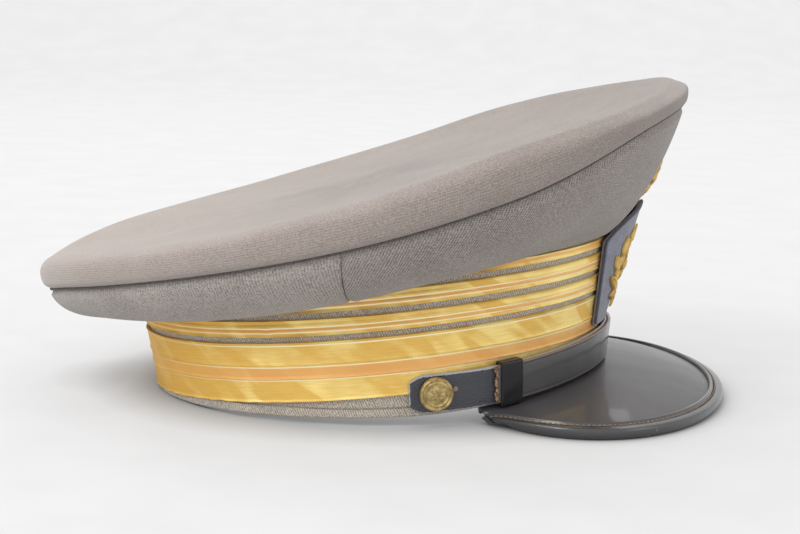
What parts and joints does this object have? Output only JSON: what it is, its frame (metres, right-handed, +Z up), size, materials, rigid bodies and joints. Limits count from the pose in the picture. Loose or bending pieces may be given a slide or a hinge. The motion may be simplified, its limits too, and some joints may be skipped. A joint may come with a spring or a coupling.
{
  "type": "peaked officer's service cap",
  "caption": "Peaked service cap with a raised cloth crown, gold-laced band, embroidered front badge, black leather peak and chin strap.",
  "frame": {"origin": "on the resting surface, under the middle of the cap's overall length and width", "axes": "+X to the front (the peak), +Y to the wearer's left, +Z up"},
  "size_m": [0.3191, 0.2496, 0.1447],
  "materials": {
    "grey_cloth": "fine grey twill with a warm melange",
    "band_cloth": "ribbed darker grey cloth",
    "gold_lace": "woven metal-thread lace with a salmon stripe",
    "gold_bullion": "gold bullion embroidery",
    "badge_felt": "blue-grey felt",
    "patent_leather": "glossy black patent leather",
    "strap_leather": "worn blue-black leather",
    "aged_brass": "aged brass"
  },
  "bodies": {
    "root": {"crown_top": "grey_cloth", "quarter_front": "grey_cloth", "quarter_rear": "grey_cloth", "crown_cockade": "gold_bullion", "band_cloth": "band_cloth", "lace_wide": "gold_lace", "lace_narrow_1": "gold_lace", "lace_narrow_2": "gold_lace", "lace_narrow_3": "gold_lace", "badge_backing": "badge_felt", "badge_wreath": "gold_bullion", "badge_rosette": "gold_bullion", "peak": "patent_leather", "peak_binding": "patent_leather", "strap_under": "strap_leather", "keeper_right": "patent_leather", "button_right": "aged_brass", "strap_over": "strap_leather", "keeper_left": "patent_leather", "button_left": "aged_brass"}
  },
  "joints": []
}
